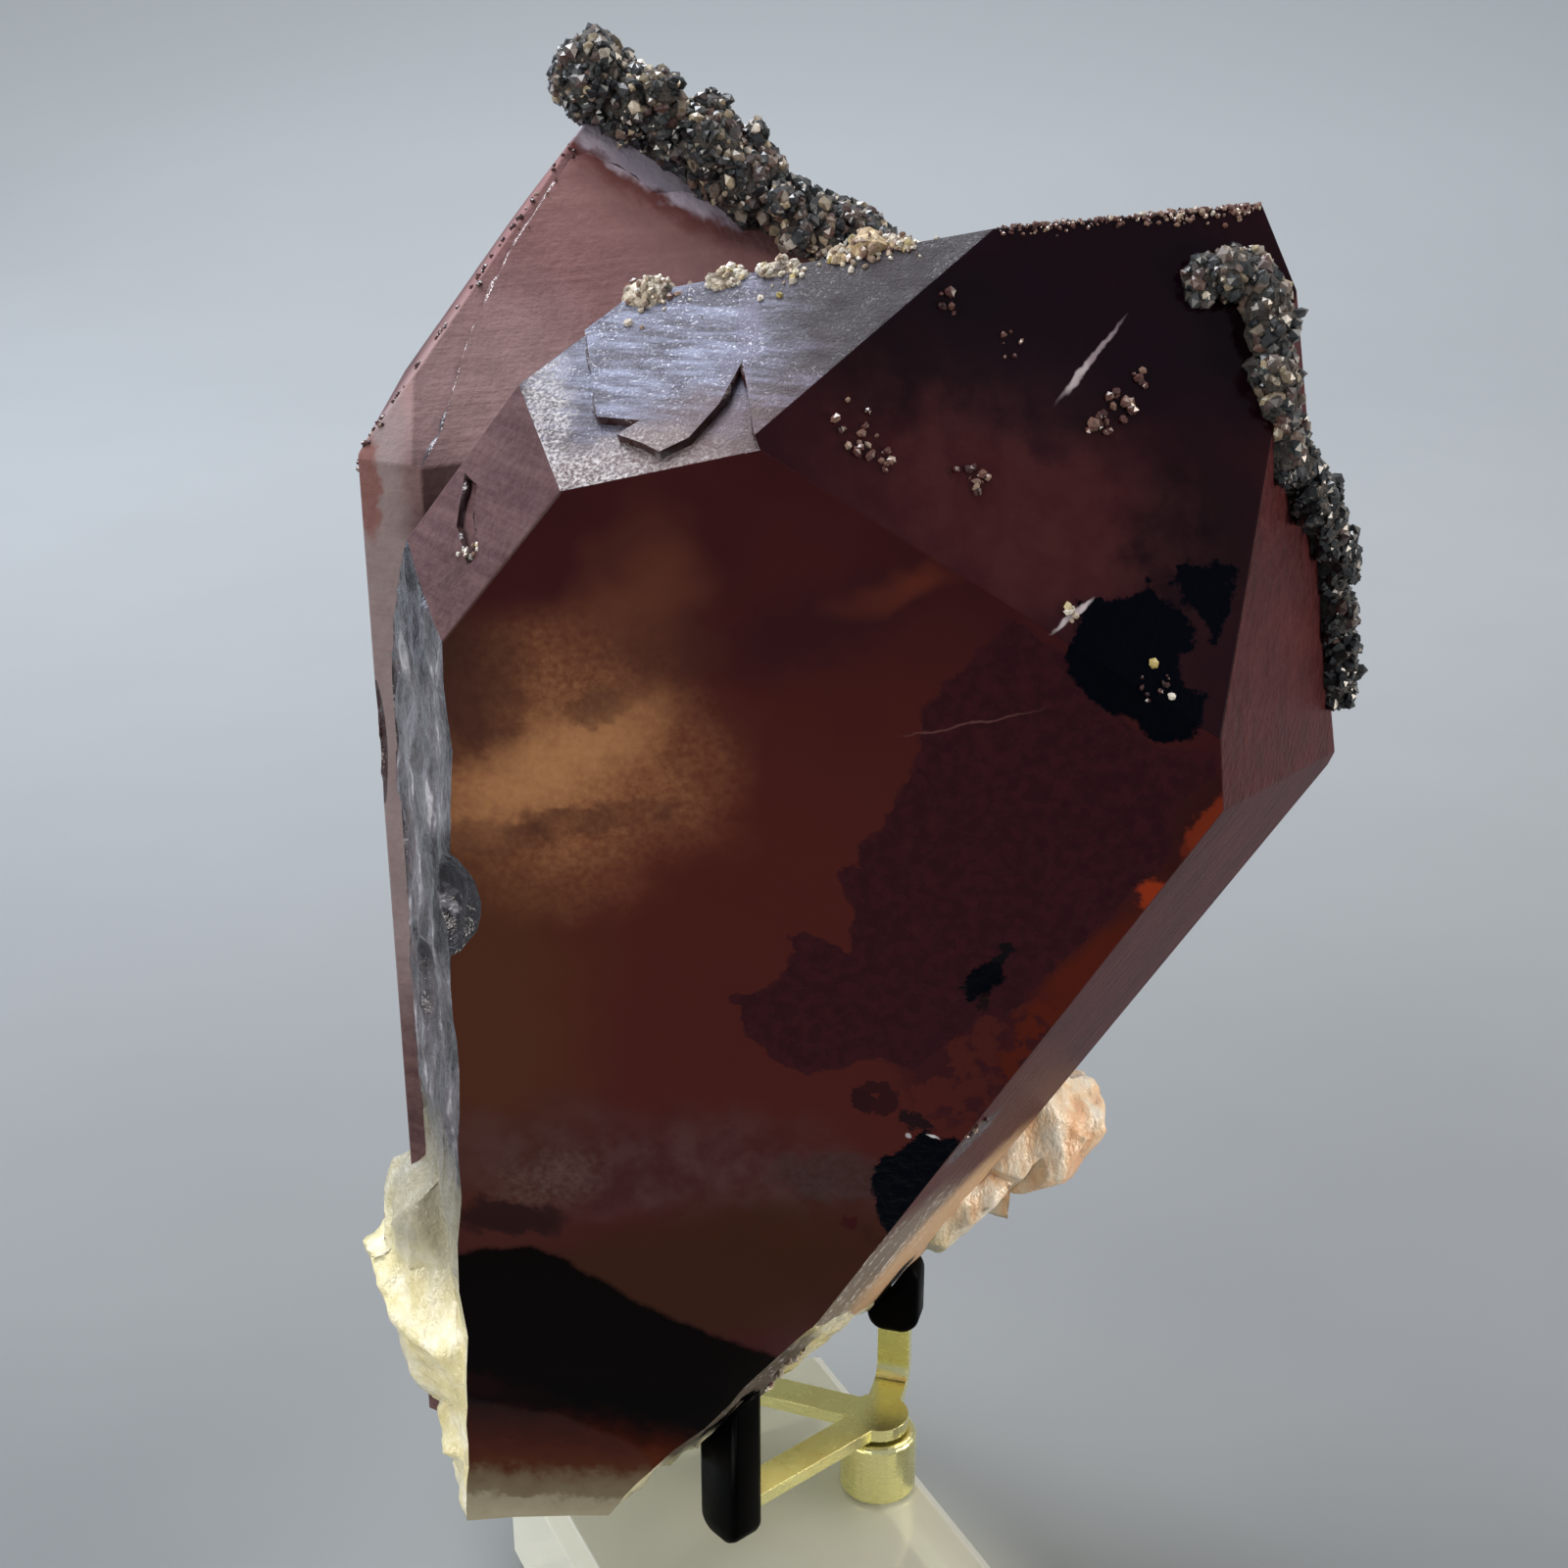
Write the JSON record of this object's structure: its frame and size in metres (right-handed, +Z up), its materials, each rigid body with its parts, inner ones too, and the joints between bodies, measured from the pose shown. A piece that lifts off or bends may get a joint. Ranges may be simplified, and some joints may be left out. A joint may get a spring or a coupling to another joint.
{
  "type": "mineral specimen on a stand",
  "caption": "Iron-stained quartz crystals with dark hematite crusts, held upright by the rubber-tipped arms of a brass cradle on a clear acrylic block.",
  "frame": {"origin": "centre of the acrylic base's underside", "axes": "+Z up, and the picture looks along +Y"},
  "size_m": [0.0676, 0.0707, 0.1143],
  "materials": {
    "stained_quartz": "glassy dark red-brown quartz, stained by iron, pale at its broken root",
    "hematite_crust": "granular black hematite with tan and grey quartz grains",
    "clear_acrylic": "clear acrylic, slightly yellow-green at depth",
    "polished_brass": "polished brass",
    "black_rubber": "smooth black rubber"
  },
  "bodies": {
    "root": {"quartz_crystals": "stained_quartz", "hematite_crust_rear_ridge": "hematite_crust", "hematite_crust_right_edge": "hematite_crust", "acrylic_base": "clear_acrylic", "brass_hub": "polished_brass", "brass_cradle": "polished_brass", "rubber_sleeve_front": "black_rubber", "rubber_sleeve_right": "black_rubber", "rubber_sleeve_rear": "black_rubber"}
  },
  "joints": []
}
